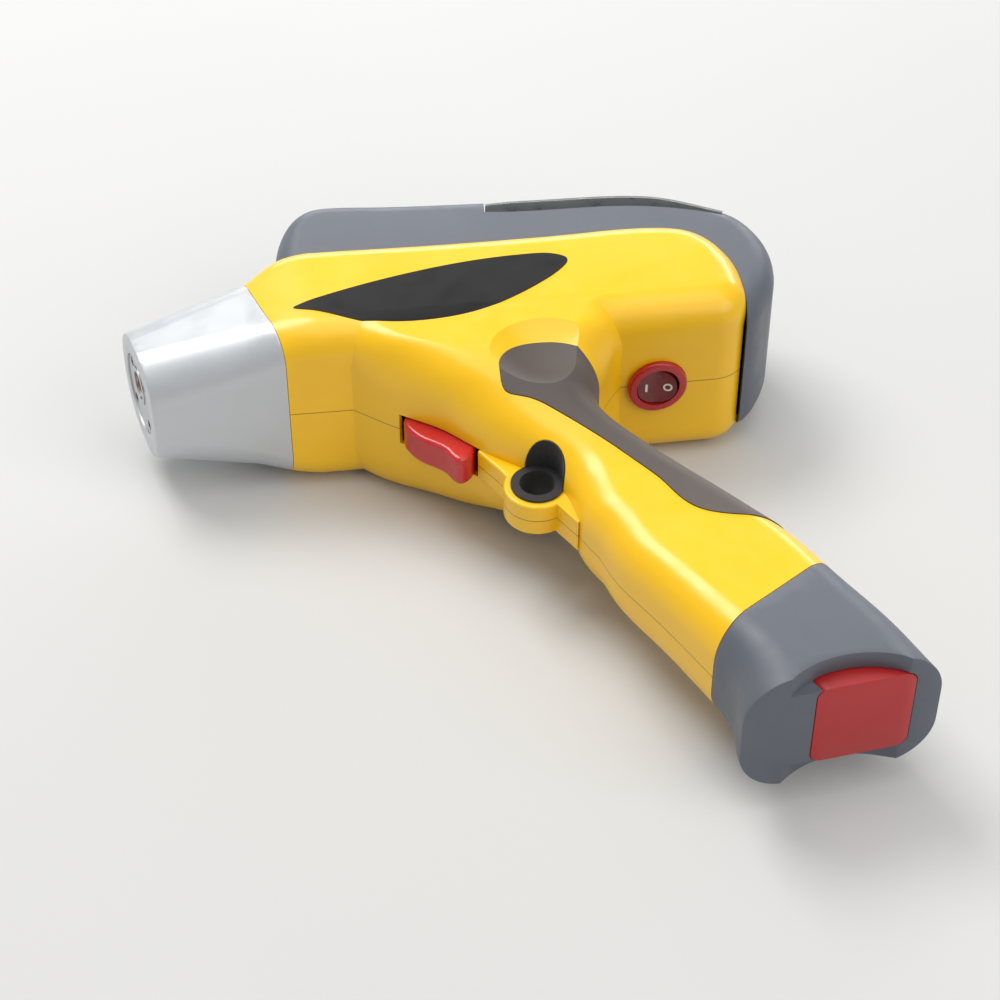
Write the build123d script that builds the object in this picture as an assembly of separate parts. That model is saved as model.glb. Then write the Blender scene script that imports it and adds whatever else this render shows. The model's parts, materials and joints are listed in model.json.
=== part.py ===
from build123d import *
import os
import math

os.makedirs("parts", exist_ok=True)

# ---------------------------------------------------------------------------
# Handheld X-ray fluorescence analyzer, lying on its right flank.
# Working frame while modelling: u along the barrel (nose at -u), v towards the
# display, z across the body with the mid-plane at z = 0.  Every finished
# piece is shifted by OFFSET, so the row's origin is at the bottom centre.
# ---------------------------------------------------------------------------

# driving dimensions, mm
BODY_HALF = 36.0        # half width of the yellow barrel
COVER_HALF = 30.8       # half width of the grey spine
BEZEL_HALF = 30.2       # half width of the display bezel
SHELL_WALL = 2.8        # wall of the shells
COVER_WALL = 2.4        # wall of the spine
SHOULDER_R = 12.0       # shoulder radius of the barrel
COVER_R = 10.0          # edge radius of the spine
BODY_BOTTOM = -7.2      # underside of the barrel ahead of the grip
BODY_TOP = 50.6         # shoulder line of the barrel
NOSE_FACE = (-114.0, 11.6)   # centre of the nose's end face
NOSE_DROOP = 15.0       # the end face leans down by this angle
GAP = 0.2               # joint line between outer pieces
RUBBER = 1.4            # thickness of the rubber inlay
RUBBER_PROUD = 0.35     # how far the rubber stands out
EYELET = (25.5, -63.0)  # centre of the strap eyelet
EYELET_R = 8.6          # hole in the lug
GROMMET_R = 6.4         # clear hole of the grommet
TRIGGER_O = (-17.0, -23.5)   # upper end of the trigger's line
TRIGGER_HALF = 6.2      # half thickness of the trigger
TRIGGER_PIN_R = 1.5
TRIGGER_TRAVEL = 8.0    # degrees
ROCKER_C = (78.0, -6.6)
ROCKER_TILT = 7.0       # the paddle rests tipped by this angle
BATT_EXIT = (116.3, -179.0)  # where the battery's axis leaves the foot
BATT_DIR = (0.475, -0.880)   # direction in which the battery slides out
BATT_HALF_P = 12.4      # half depth of the pack
BATT_HALF_Z = 13.2      # half width of the pack
FLOOR = -BODY_HALF      # the right flank rests here

OFFSET = (-11.11, 49.66, 36.025)


# ---------------------------------------------------------------------------
# helpers
# ---------------------------------------------------------------------------
def prism(points, z0, z1):
    """Straight-sided prism over a polygon in the u-v plane."""
    face = make_face(Polyline(*points, close=True))
    return extrude(Plane.XY.offset(z0) * face, z1 - z0)


def wire_prism(wire, z0, z1):
    face = make_face(wire)
    return extrude(Plane.XY.offset(z0) * face, z1 - z0)


def box(u0, u1, v0, v1, z0, z1):
    return Pos((u0 + u1) / 2, (v0 + v1) / 2, (z0 + z1) / 2) * Box(u1 - u0, v1 - v0, z1 - z0)


def cyl_z(u, v, r, z0, z1):
    return Pos(u, v, (z0 + z1) / 2) * Cylinder(r, z1 - z0)


def solid_of(shape):
    """The biggest solid of a result, when a cut leaves crumbs."""
    parts = shape.solids()
    return max(parts, key=lambda s: s.volume)


def unit(a):
    n = math.hypot(a[0], a[1])
    return (a[0] / n, a[1] / n)


written = {}


def put(name, shape):
    moved = Pos(*OFFSET) * shape
    solids = moved.solids()
    out = solids[0] if len(solids) == 1 else Compound(children=list(solids))
    written[name] = out
    export_step(out, "parts/" + name + ".step")


# ---------------------------------------------------------------------------
# outer form
# ---------------------------------------------------------------------------
SEAM_TOP = [(-63.0, 60.0), (-60.6, 51.0), (-56.0, 48.9), (-46.0, 48.8), (-36.3, 48.6), (-14.4, 48.2),
            (7.7, 48.1), (29.8, 48.4), (52.1, 49.1), (70.1, 50.0), (85.7, 49.4), (96.5, 46.4),
            (104.1, 39.6), (108.9, 30.0), (111.2, 19.0), (111.5, 7.0), (111.5, -14.0)]


def yellow_profile(d):
    """Side profile of the barrel block, 2 mm outside the visible joint line."""
    top = [(-40.0, 50.6), (-14.0, 50.2), (8.0, 50.1), (30.0, 50.4), (52.0, 51.1),
           (70.0, 52.0), (86.0, 51.3), (97.8, 48.0), (106.0, 40.6), (111.0, 30.6), (113.4, 19.2),
           (113.6, 9.0)]
    spl = Spline(*top, tangents=[(1, 0), (0, -1)])
    arc = RadiusArc((113.6, 9.0), (99.6, -5.0), 14.0)
    low = Line((99.6, -5.0), (70.0, -5.6))
    low2 = Line((70.0, -5.6), (-40.0, BODY_BOTTOM))
    low3 = Line((-40.0, BODY_BOTTOM), (-52.0, BODY_BOTTOM))
    end = Line((-52.0, BODY_BOTTOM), (-52.0, 50.6))
    flat = Line((-52.0, 50.6), (-40.0, 50.6))
    face = make_face([flat, spl, arc, low, low2, low3, end])
    return face


def barrel_block(d=0.0):
    face = yellow_profile(0.0)
    if d < 0.0:
        face = offset(face, amount=d, kind=Kind.INTERSECTION)
    h = BODY_HALF + d
    body = extrude(Plane.XY.offset(-h) * face, 2 * h)
    edges = [e for e in body.edges()
             if abs(abs(e.center().Z) - h) < 1e-3 and e.center().X > -51.0 + abs(d)]
    body = fillet(edges, SHOULDER_R + d)
    # keep only the part behind the front joint plane
    return body & box(-45.0, 140.0, -60.0, 120.0, -60.0, 60.0)


FRONT = [  # u, v_bottom, v_top, half width, corner radius
    (-45.0, BODY_BOTTOM, 50.6, 36.0, 12.0),
    (-49.0, BODY_BOTTOM, 50.6, 35.95, 12.0),
    (-55.0, -7.2, 50.5, 35.3, 12.6),
    (-61.0, -7.2, 49.4, 34.1, 13.6),
    (-67.0, -7.25, 46.2, 32.4, 14.8),
    (-73.0, -7.35, 43.0, 30.8, 15.6),
]
NOSE_TIP = (-124.0, -10.2, 31.0, 20.2, 18.2)


def front_section(row, d):
    u, vb, vt, h, r = row
    hh = (vt - vb) / 2 + d
    rr = min(r + d * 0.6, hh - 0.6, h + d - 0.6)
    sk = RectangleRounded(2 * hh, 2 * (h + d), rr)
    return Plane(origin=(u, (vb + vt) / 2, 0), x_dir=(0, 1, 0), z_dir=(-1, 0, 0)) * sk


def front_loft(d=0.0):
    neck = loft([front_section(row, d) for row in FRONT])
    cone = loft([front_section(FRONT[-1], d), front_section(NOSE_TIP, d)])
    return neck + cone


GRIP = [  # v, u_front, u_back, half width
    (14.0, -52.0, 80.0, 35.95),
    (4.0, -46.5, 73.5, 35.95),
    (-4.0, -39.5, 65.5, 35.95),
    (-12.0, -29.5, 59.4, 35.9),
    (-20.0, -19.0, 54.6, 35.3),
    (-28.0, -7.0, 51.4, 33.0),
    (-36.0, 1.4, 51.8, 29.2),
    (-44.0, 9.4, 57.0, 25.4),
    (-54.0, 22.0, 66.0, 22.2),
    (-64.0, 32.0, 74.8, 20.5),
    (-76.0, 36.3, 85.2, 19.7),
    (-90.0, 40.0, 96.8, 19.6),
    (-106.0, 46.0, 109.0, 19.9),
    (-122.0, 54.2, 117.6, 20.5),
    (-138.0, 62.7, 125.8, 21.4),
    (-154.0, 70.6, 133.6, 22.6),
    (-170.0, 75.2, 139.8, 23.9),
    (-190.0, 80.6, 145.4, 25.4),
]


def dish(side, d):
    """Thumb dish: a sphere that sinks 3 mm into the flank at the web."""
    r = 40.0
    return Pos(33.5, -29.0, side * (32.4 + r - 3.6)) * Sphere(r - d)


def grip_loft(d=0.0, v_from=14.0, dishes=True):
    secs = []
    for v, uf, ub, h in GRIP:
        if v > v_from:
            continue
        # the grip leans, so a wall of thickness d is d / cos(lean) wide along u
        k = 1.0 if v > -30.0 else 1.18
        wu = ub - uf + 2 * d * k
        r = min(h + d, wu / 2) * (0.50 if v > -16 else (0.62 if v > -34 else 0.72))
        sk = RectangleRounded(2 * (h + d), wu, r)
        pl = Plane(origin=((uf + ub) / 2, v, 0), x_dir=(0, 0, 1), z_dir=(0, -1, 0))
        secs.append(pl * sk)
    body = loft(secs)
    if dishes:
        body = body - dish(1, d) - dish(-1, d)
    return body


GREY_TOP = [(-60.5, 44.0), (-59.8, 58.0), (-57.4, 69.0), (-52.6, 78.6), (-46.5, 83.3), (-39.0, 84.6),
            (-23.0, 83.5), (0.0, 81.9), (21.7, 80.9), (50.0, 79.6), (75.0, 77.8), (90.0, 74.6),
            (103.0, 69.8), (113.5, 64.6), (120.0, 58.9), (124.0, 52.0), (126.7, 44.0), (127.8, 35.0),
            (127.0, 25.5), (124.2, 15.5), (119.6, 6.4), (114.0, -0.6), (106.0, -3.4), (96.0, -3.8)]


def shifted(pts, d):
    """Points moved sideways by d, outwards on a clockwise run."""
    out = []
    for i, p in enumerate(pts):
        a = pts[max(i - 1, 0)]
        b = pts[min(i + 1, len(pts) - 1)]
        t = unit((b[0] - a[0], b[1] - a[1]))
        out.append((p[0] - t[1] * d, p[1] + t[0] * d))
    return out


def grey_profile(d=0.0):
    pts = shifted(GREY_TOP, d)
    p0, p1 = pts[0], pts[-1]
    return make_face([Spline(*pts), Line(p1, (60.0, 10.0)), Line((60.0, 10.0), (-38.0, 30.0)),
                      Line((-38.0, 30.0), p0)])


def cover_block(d=0.0, r=None):
    h = COVER_HALF + d
    body = extrude(Plane.XY.offset(-h) * grey_profile(d), 2 * h)
    big = [e for e in body.edges() if abs(abs(e.center().Z) - h) < 1e-3]
    big.sort(key=lambda e: -e.length)
    return fillet(big[:2], (COVER_R if r is None else r) + d)


seam_spl = Spline(*SEAM_TOP)
inside_seam = wire_prism(
    Wire([seam_spl.edge(),
          Line((111.5, -14.0), (180.0, -14.0)), Line((180.0, -14.0), (180.0, -260.0)),
          Line((180.0, -260.0), (-200.0, -260.0)), Line((-200.0, -260.0), (-200.0, 60.0)),
          Line((-200.0, 60.0), (-63.0, 60.0))]), -70.0, 70.0)

NOSE_SEAM = [(-79.0, 60.0), (-74.0, 41.0), (-69.6, 26.0), (-65.6, 13.2), (-61.6, 1.4), (-57.0, -14.0)]
nose_region = wire_prism(
    Wire([Spline(*NOSE_SEAM).edge(), Line((-57.0, -14.0), (-57.0, -40.0)), Line((-57.0, -40.0), (-200.0, -40.0)),
          Line((-200.0, -40.0), (-200.0, 60.0)), Line((-200.0, 60.0), (-79.0, 60.0))]), -70.0, 70.0)

# frame of the nose's end face: X runs into the body along the nose axis
nose_loc = Location((NOSE_FACE[0], NOSE_FACE[1], 0), (0, 0, NOSE_DROOP))
face_cut = nose_loc * Pos(-60, 0, 0) * Box(120, 200, 200)

print("outer")
front_out = front_loft(0.0)
front_in = front_loft(-2.5)
barrel_out = barrel_block(0.0)
barrel_in = barrel_block(-SHELL_WALL)
grip_out = grip_loft(0.0)
grip_in = grip_loft(-SHELL_WALL)
cover_out = cover_block(0.0)
cover_in = cover_block(-COVER_WALL)
print("forms", front_out.is_valid, front_in.is_valid, barrel_out.is_valid, barrel_in.is_valid,
      grip_out.is_valid, grip_in.is_valid, cover_out.is_valid, cover_in.is_valid)

# ---------------------------------------------------------------------------
# body, cavity and the cuts between the outer pieces
# ---------------------------------------------------------------------------
nose_end = nose_loc * Pos(100, 0, 0) * Box(200, 300, 300)      # everything behind the end face
front_out = front_out & nose_end
yellow_front_out = front_out - nose_region
yellow_out = barrel_out + yellow_front_out + grip_out
yellow_out = yellow_out & inside_seam

# foot: below a plane across the grip
FOOT_A = (72.3, -154.4)
FOOT_B = (117.6, -121.3)
ft = unit((FOOT_B[0] - FOOT_A[0], FOOT_B[1] - FOOT_A[1]))
fn = (ft[1], -ft[0])                                           # points down the grip


def foot_half(shift):
    """Half space below the foot's joint line, moved down by shift."""
    a = (FOOT_A[0] - ft[0] * 200 + fn[0] * shift, FOOT_A[1] - ft[1] * 200 + fn[1] * shift)
    b = (FOOT_B[0] + ft[0] * 200 + fn[0] * shift, FOOT_B[1] + ft[1] * 200 + fn[1] * shift)
    c = (b[0] + fn[0] * 300, b[1] + fn[1] * 300)
    e = (a[0] + fn[0] * 300, a[1] + fn[1] * 300)
    return prism([a, b, c, e], -80, 80)


BOTTOM_A = (60.0, -186.0)
BOTTOM_B = (160.0, -172.4)
bottom_cut = prism([BOTTOM_A, BOTTOM_B, (160, -300), (60, -300)], -80, 80)

foot_out = (grip_out & foot_half(GAP)) - bottom_cut
yellow_out = yellow_out - foot_half(0.0)
cavity = barrel_in + (front_in - nose_region) + grip_in + cover_in
print("yellow", yellow_out.is_valid, len(yellow_out.solids()), "cavity", cavity.is_valid, len(cavity.solids()))

# battery passage: a straight way through the foot along the slide axis
bd = unit(BATT_DIR)
batt_angle = math.degrees(math.atan2(bd[1], bd[0]))
batt_loc = Location((BATT_EXIT[0], BATT_EXIT[1], 0), (0, 0, batt_angle))   # +X slides out


def batt_box(x0, x1, hp, hz):
    return batt_loc * Pos((x0 + x1) / 2, 0, 0) * Box(x1 - x0, 2 * hp, 2 * hz)


def batt_bar(x0, x1, hp, hz, r):
    b = Pos((x0 + x1) / 2, 0, 0) * Box(x1 - x0, 2 * hp, 2 * hz)
    return batt_loc * fillet(b.edges().filter_by(Axis.X), r)


# ---------------------------------------------------------------------------
# lug with the strap eyelet, on the grip's front edge
# ---------------------------------------------------------------------------
lug = (cyl_z(EYELET[0], EYELET[1], EYELET_R + 3.4, -6.5, 6.5)
       + prism([(6.5, -42.5), (13.0, -53.0), (15.0, -57.0), (30.0, -72.0), (37.0, -84.0), (46.0, -70.0),
                (34.0, -52.0), (18.0, -40.0)], -6.5, 6.5))
lug = lug.clean()
lug_edges = [e for e in lug.edges() if abs(abs(e.center().Z) - 6.5) < 1e-3
             and math.hypot(e.center().X - EYELET[0], e.center().Y - EYELET[1]) < 16]
for rr in (1.0,):
    try:
        lug = fillet(lug_edges, rr)
        break
    except Exception:
        pass
lug_in = prism([(24.0, -45.0), (38.0, -60.0), (44.0, -76.0), (60.0, -76.0), (50.0, -45.0)], -6.5, 6.5)
eye_hole = cyl_z(EYELET[0], EYELET[1], EYELET_R, -40, 40)
eye_rim = cyl_z(EYELET[0], EYELET[1], EYELET_R + 1.1, 6.5, 40) + cyl_z(EYELET[0], EYELET[1], EYELET_R + 1.1, -40, -6.5)

# ---------------------------------------------------------------------------
# trigger: frame with X down along the trigger's line and Y outwards
# ---------------------------------------------------------------------------
TR_DIR = unit((22.5, -19.0))
TR_N = (TR_DIR[1], -TR_DIR[0])


def tr(t, n):
    return (TRIGGER_O[0] + TR_DIR[0] * t + TR_N[0] * n, TRIGGER_O[1] + TR_DIR[1] * t + TR_N[1] * n)


PIN_AT = tr(1.5, -6.0)
slot = prism([tr(-4.5, 12), tr(30.5, 12), tr(30.5, -9.5), tr(-4.5, -9.5)], -TRIGGER_HALF - 0.6, TRIGGER_HALF + 0.6)
trig_front = [tr(-2.8, -7.0), tr(-3.0, -3.0), tr(-1.2, 0.4), tr(3.5, 3.2), tr(9.5, 4.6), tr(15.5, 4.4), tr(20.5, 4.9),
              tr(24.6, 6.6), tr(27.6, 6.6), tr(29.2, 3.6), tr(28.6, -1.5), tr(27.4, -5.6)]
trig_face = make_face([Spline(*trig_front), Line(trig_front[-1], tr(22.0, -8.4)), Line(tr(22.0, -8.4), tr(10.0, -9.4)),
                       Line(tr(10.0, -9.4), tr(-1.4, -9.2)), Line(tr(-1.4, -9.2), trig_front[0])])
trigger = extrude(Plane.XY.offset(-TRIGGER_HALF) * trig_face, 2 * TRIGGER_HALF)
front_edges = [e for e in trigger.edges() if abs(abs(e.center().Z) - TRIGGER_HALF) < 1e-3 and e.length > 30]
for rr in (1.8, 1.2):
    try:
        trigger = fillet(front_edges, rr)
        print("trigger fillet", rr)
        break
    except Exception as err:
        print("trigger fillet", rr, err)
trigger = trigger - cyl_z(PIN_AT[0], PIN_AT[1], TRIGGER_PIN_R + 0.05, -20, 20)
trigger = solid_of(trigger)

# ---------------------------------------------------------------------------
# power rocker in the tail's underside
# ---------------------------------------------------------------------------
rk_loc = Location((ROCKER_C[0], ROCKER_C[1], 0), (0, 0, 4.0))     # -Y looks out of the tail


def rk_cyl(r, y0, y1, at=(0, 0)):
    """Cylinder along the rocker's own Y."""
    c = Cylinder(r, y1 - y0)
    return rk_loc * Pos(at[0], (y0 + y1) / 2, at[1]) * Rot(90, 0, 0) * c


rocker_hole = rk_cyl(9.6, -10, 12)
bezel_ring = rk_cyl(11.2, -1.2, 1.0)
ring_edges = sorted([e for e in bezel_ring.edges() if e.length > 60], key=lambda e: e.center().Y)
bezel_ring = fillet(ring_edges[:1], 0.9)
power_body = bezel_ring + rk_cyl(9.4, 0.8, 13.0)
power_body = power_body - rk_cyl(8.2, -5.0, 7.5)
# sockets for the paddle's stub axle, which runs across the body
axle_hole = rk_loc * Pos(0, 2.2, 0) * Cylinder(1.05, 17.6)
power_body = power_body - axle_hole
blades = rk_loc * (Pos(-4.0, 16.0, 0) * Box(0.8, 6.0, 4.8) + Pos(4.0, 16.0, 0) * Box(0.8, 6.0, 4.8))
power_body = power_body + blades

paddle_face = make_face(Polyline((-7.4, 1.2), (-7.4, -1.5), (0.0, -0.2), (7.4, -1.5), (7.4, 1.2), (1.6, 4.6),
                                 (-1.6, 4.6), close=True))
paddle = extrude(Plane.XY.offset(-8.0) * paddle_face, 16.0) & (Pos(0, 0, 0) * Rot(90, 0, 0) * Cylinder(7.5, 20))
paddle = paddle + Pos(0, 2.2, 0) * Cylinder(1.0, 17.0)
mark = Pos(-4.0, -1.0, 0) * Rot(0, 0, -9.96) * Box(0.8, 0.6, 3.4)
ring_mark = Pos(4.0, -1.0, 0) * Rot(0, 0, 9.96) * Rot(90, 0, 0) * (Cylinder(1.7, 0.6) - Cylinder(1.1, 0.7))
tilt = rk_loc * Pos(0, 2.2, 0) * Rot(0, 0, -ROCKER_TILT) * Pos(0, -2.2, 0)
rocker_marks = tilt * (mark + ring_mark)
power_rocker = tilt * paddle - rocker_marks

# ---------------------------------------------------------------------------
# rubber backstrap and thumb inlay
# ---------------------------------------------------------------------------
RUBBER_LINE = [(17.2, -36.5), (16.2, -30.5), (17.0, -24.0), (20.5, -19.0), (26.0, -16.0), (33.0, -15.0),
               (40.0, -16.2), (46.0, -19.6), (53.0, -24.0), (62.0, -26.0)]
RUBBER_FRONT = [(112.0, -106.0), (104.0, -102.5), (94.0, -100.8), (84.0, -98.6), (77.0, -95.4), (71.6, -89.6),
                (66.8, -80.3), (60.2, -70.8), (51.6, -60.4), (42.5, -51.5), (33.0, -44.0), (24.4, -39.4),
                (17.2, -36.5)]


def rubber_region(d=0.0):
    up = shifted(RUBBER_LINE, d)
    fr = shifted(RUBBER_FRONT, d)
    pts = fr[:-1] + [((fr[-1][0] + up[0][0]) / 2, (fr[-1][1] + up[0][1]) / 2)] + up[1:]
    spl = Spline(*pts)
    return wire_prism(Wire([spl.edge(), Line(pts[-1], (170.0, pts[-1][1])), Line((170.0, pts[-1][1]), (170.0, pts[0][1])),
                            Line((170.0, pts[0][1]), pts[0])]), -60, 60)


web_keep = prism([(14, -14), (56.5, -14), (57.5, -24), (60, -30), (200, -120), (0, -170), (0, -30)], -70, 70)
rub_region = rubber_region(0.0) & web_keep
pocket_region = rubber_region(GAP) & web_keep
rub_outer = grip_loft(RUBBER_PROUD)
rub_inner = grip_loft(-RUBBER)
backstrap = (rub_outer - rub_inner) & rub_region
print("backstrap", backstrap.is_valid, [round(s.volume) for s in backstrap.solids()])

# ---------------------------------------------------------------------------
# side badges: blank leaf-shaped inlays
# ---------------------------------------------------------------------------
LEAF = [(-54.2, 11.4), (-44.0, 15.6), (-26.7, 21.6), (-4.8, 27.5), (17.2, 31.4), (34.7, 32.6), (44.0, 31.4),
        (48.0, 28.3), (45.2, 22.6), (36.9, 15.2), (23.0, 6.1), (9.0, 0.2), (-7.5, -2.4), (-24.0, -1.2),
        (-38.4, 3.6), (-48.6, 8.2)]


def leaf(d, z0, z1):
    c = (0.0, 15.0)
    pts = []
    for p in LEAF:
        r = unit((p[0] - c[0], p[1] - c[1]))
        pts.append((p[0] + r[0] * d, p[1] + r[1] * d))
    face = make_face(Spline(*pts, periodic=True))
    return extrude(Plane.XY.offset(z0) * face, z1 - z0)


proud = barrel_block(0.25) + (front_loft(0.25) & nose_end)
left_badge = leaf(0.0, BODY_HALF - 1.6, 50) & proud
right_badge = leaf(0.0, -50, -BODY_HALF + 1.6) & (barrel_block(0.0) + front_out)
badge_pockets = leaf(GAP * 0.6, BODY_HALF - 1.6, 60) + leaf(GAP * 0.6, -60, -BODY_HALF + 1.6)

# ---------------------------------------------------------------------------
# bosses and screws that hold the halves together
# ---------------------------------------------------------------------------
SCREWS = [(-38.0, 41.0), (52.0, 42.0), (98.0, 24.0), (-34.0, 1.0), (62.0, 4.0), (30.5, -44.0), (104.0, -113.0)]
SCREW_HEAD_R = 2.9
SCREW_SHANK_R = 1.4
pin_boss = cyl_z(PIN_AT[0], PIN_AT[1], 4.2, 9.0, 40) + cyl_z(PIN_AT[0], PIN_AT[1], 4.2, -40, -9.0)
bosses = None
for (u, v) in SCREWS:
    b = cyl_z(u, v, 3.9, -60, 60)
    bosses = b if bosses is None else bosses + b
screw_holes = None
screws = []
for (u, v) in SCREWS:
    shallow = v < -40
    head_z = (-15.0 if shallow else -27.5)
    hole = cyl_z(u, v, SCREW_HEAD_R + 0.25, -60, head_z) + cyl_z(u, v, SCREW_SHANK_R + 0.15, head_z - 1, 0) \
        + cyl_z(u, v, SCREW_SHANK_R, -0.5, 8.0)
    screw_holes = hole if screw_holes is None else screw_holes + hole
    sc = cyl_z(u, v, SCREW_HEAD_R, head_z - 2.4, head_z) + cyl_z(u, v, SCREW_SHANK_R, head_z - 0.2, 7.6)
    rec = cyl_z(u, v, 1.5, head_z - 2.5, head_z - 1.0)
    screws.append(sc - rec)

print("yellow shells")
yellow = (yellow_out - cavity)
inside_grey = cover_in
extra = (bosses + pin_boss) & (cavity & yellow_out)
yellow = yellow + extra
yellow = yellow + ((lug & inside_seam) - grip_in)
yellow = yellow - eye_hole - eye_rim - slot - rocker_hole - rk_cyl(11.4, -8, 1.1) - badge_pockets - screw_holes
yellow = yellow - cyl_z(PIN_AT[0], PIN_AT[1], TRIGGER_PIN_R, -18.0, 18.0)
rub_pocket = (grip_loft(3.0) - rub_inner) & pocket_region
yellow = yellow - rub_pocket
print("yellow", yellow.is_valid, [round(s.volume) for s in yellow.solids()])
left_shell = yellow & box(-200, 200, -200, 100, 0.0, 60)
right_shell = yellow & box(-200, 200, -200, 100, -60, 0.0)
for nm, sh in (("left_shell", left_shell), ("right_shell", right_shell)):
    print(nm, [round(s.volume) for s in sh.solids()])
left_shell = solid_of(left_shell)
right_shell = solid_of(right_shell)
put("left_shell", left_shell)
put("right_shell", right_shell)
put("grip_backstrap", solid_of(backstrap))
put("left_badge", solid_of(left_badge))
put("right_badge", solid_of(right_badge))
put("trigger", trigger)
put("power_switch_body", solid_of(power_body))
put("power_rocker", solid_of(power_rocker))
put("rocker_marks", rocker_marks)
put("trigger_pin", cyl_z(PIN_AT[0], PIN_AT[1], TRIGGER_PIN_R, -17.6, 17.6))
put("shell_screws", Compound(children=[solid_of(s) for s in screws]))

# torsion spring round the trigger's pin: three turns and two legs
coil = None
for k in range(3):
    zc = 6.75 + 0.62 * k
    t = Pos(PIN_AT[0], PIN_AT[1], zc) * Torus(1.95, 0.28)
    coil = t if coil is None else coil + t
put("trigger_spring", coil)

# trigger switch behind the trigger, with its plunger just clear of the full pull
sw = prism([tr(13.0, -14.2), tr(26.0, -14.2), tr(26.0, -21.2), tr(13.0, -21.2)], -3.2, 3.2)
sw = sw + prism([tr(17.5, -13.4), tr(20.5, -13.4), tr(20.5, -14.4), tr(17.5, -14.4)], -1.6, 1.6)
for k in range(3):
    sw = sw + prism([tr(14.5 + 4.4 * k, -21.0), tr(15.1 + 4.4 * k, -21.0), tr(15.1 + 4.4 * k, -24.5),
                     tr(14.5 + 4.4 * k, -24.5)], -1.2, 1.2)
put("trigger_switch", sw)

# ---------------------------------------------------------------------------
# spine, bezel and display
# ---------------------------------------------------------------------------
LEDGE = [(21.5, 68.6), (51.0, 67.0), (74.0, 66.4), (91.0, 63.6), (104.0, 59.6), (112.5, 56.6), (117.6, 60.6)]
ledge_spl = Spline(*LEDGE[:6])
ledge_region = wire_prism(Wire([ledge_spl.edge(), Line(LEDGE[5], (115.0, 66.0)), Line((115.0, 66.0), (117.0, 110.0)),
                                Line((117.0, 110.0), (24.6, 110.0)), Line((24.6, 110.0), (21.5, 68.6))]), -60, 60)
outside_seam_pts = shifted(SEAM_TOP, GAP)
outside_seam = wire_prism(Wire([Spline(*outside_seam_pts).edge(),
                                Line(outside_seam_pts[-1], (200.0, -14.0)), Line((200.0, -14.0), (200.0, 200.0)),
                                Line((200.0, 200.0), (-120.0, 200.0)), Line((-120.0, 200.0), (-120.0, outside_seam_pts[0][1])),
                                Line((-120.0, outside_seam_pts[0][1]), outside_seam_pts[0])]), -70, 70)
cover = (cover_out - cover_in) & outside_seam
# floor under the bezel, and a well for the display module
ledge_floor = (cover_out & ledge_region.moved(Location((0, -2.4, 0)))) - ledge_region
cover = (cover - ledge_region) + (ledge_floor & box(10, 122, 50, 120, -COVER_HALF + 0.2, COVER_HALF - 0.2) & cover_out)
well = box(30, 86, 56, 90, -23, 23)
cover = cover - well
cover = cover - screw_holes
cover = solid_of(cover)
put("top_cover", cover)

BEZEL_TOP = [(22.8, 77.7), (30.0, 78.3), (43.0, 78.2), (75.0, 77.3), (88.0, 75.2), (97.0, 71.8), (105.0, 67.6),
             (113.9, 62.6)]


def bezel_block(d=0.0, h=BEZEL_HALF):
    top = shifted(BEZEL_TOP, d)
    bot = shifted(LEDGE[:6], GAP * 0.5)
    w = Wire([Spline(*top).edge(), Line(top[-1], (112.5, bot[-1][1])), Line((112.5, bot[-1][1]), (112.2, bot[-1][1])),
              Spline(*[(112.2, bot[-1][1])] + [bot[k] for k in (4, 3, 2, 1)] + [(22.0, bot[0][1])]).edge(),
              Line((22.0, bot[0][1]), top[0])])
    body = wire_prism(w, -h, h)
    return body


bezel = bezel_block()
bz_edges = [e for e in bezel.edges() if abs(abs(e.center().Z) - BEZEL_HALF) < 1e-3 and e.length > 60
            and e.center().Y > 69]
for rr in (5.0, 4.0, 3.0, 2.0):
    try:
        bezel = fillet(bz_edges, rr)
        print("bezel fillet", rr)
        break
    except Exception as err:
        print("bezel fillet", rr, err)
# window for the display and pockets for the keys
GLASS_U = (30.0, 84.0)
GLASS_HALF = 22.5
glass_slab = (bezel_block(0.0, GLASS_HALF) - bezel_block(-1.3, 60)) & box(GLASS_U[0], GLASS_U[1], 60, 95, -GLASS_HALF, GLASS_HALF)
glass_pocket = (bezel_block(5.0, GLASS_HALF + 0.15) - bezel_block(-1.3, 60)) & box(GLASS_U[0] - 0.15, GLASS_U[1] + 0.15, 60, 95, -GLASS_HALF - 0.15, GLASS_HALF + 0.15)
display_opening = box(33, 81, 60, 95, -20, 20)
bezel = bezel - glass_pocket - display_opening
# keys sit on the slope, square to it
KEY_P = (97.3, 71.6)
KEY_A = math.degrees(math.atan2(67.6 - 75.2, 105.0 - 88.0))
key_loc = Location((KEY_P[0], KEY_P[1], 0), (0, 0, KEY_A))       # +Y looks out of the slope


def key_box(sx, sz, y0, y1, z, r=1.4):
    b = Box(sx, y1 - y0, sz)
    b = fillet(b.edges().filter_by(Axis.Y), r)
    return key_loc * Pos(0, (y0 + y1) / 2, z) * b


key_holes = None
for z in (-15.0, 0.0, 15.0):
    h = key_box(8.7, 10.7, -20.0, 8.0, z, 1.7)
    key_holes = h if key_holes is None else key_holes + h
well2 = key_loc * Pos(0, -7.3, 0) * Box(12.0, 11.7, 46.0)
bezel = bezel - key_holes - well2
bezel = solid_of(bezel)
put("display_bezel", bezel)
put("display_glass", solid_of(glass_slab))
for nm, z in (("key_left", 15.0), ("key_ok", 0.0), ("key_right", -15.0)):
    k = key_box(8.1, 10.1, -1.6, 1.3, z, 1.4)
    top = sorted(k.faces(), key=lambda f: (key_loc.inverse() * f.center()).Y if False else f.center().dot(Vector(-math.sin(math.radians(KEY_A)), math.cos(math.radians(KEY_A)), 0)))[-1]
    k = fillet(top.edges(), 0.6)
    k = k + key_box(9.8, 11.8, -2.6, -1.5, z, 1.7)
    put(nm, k)
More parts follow.
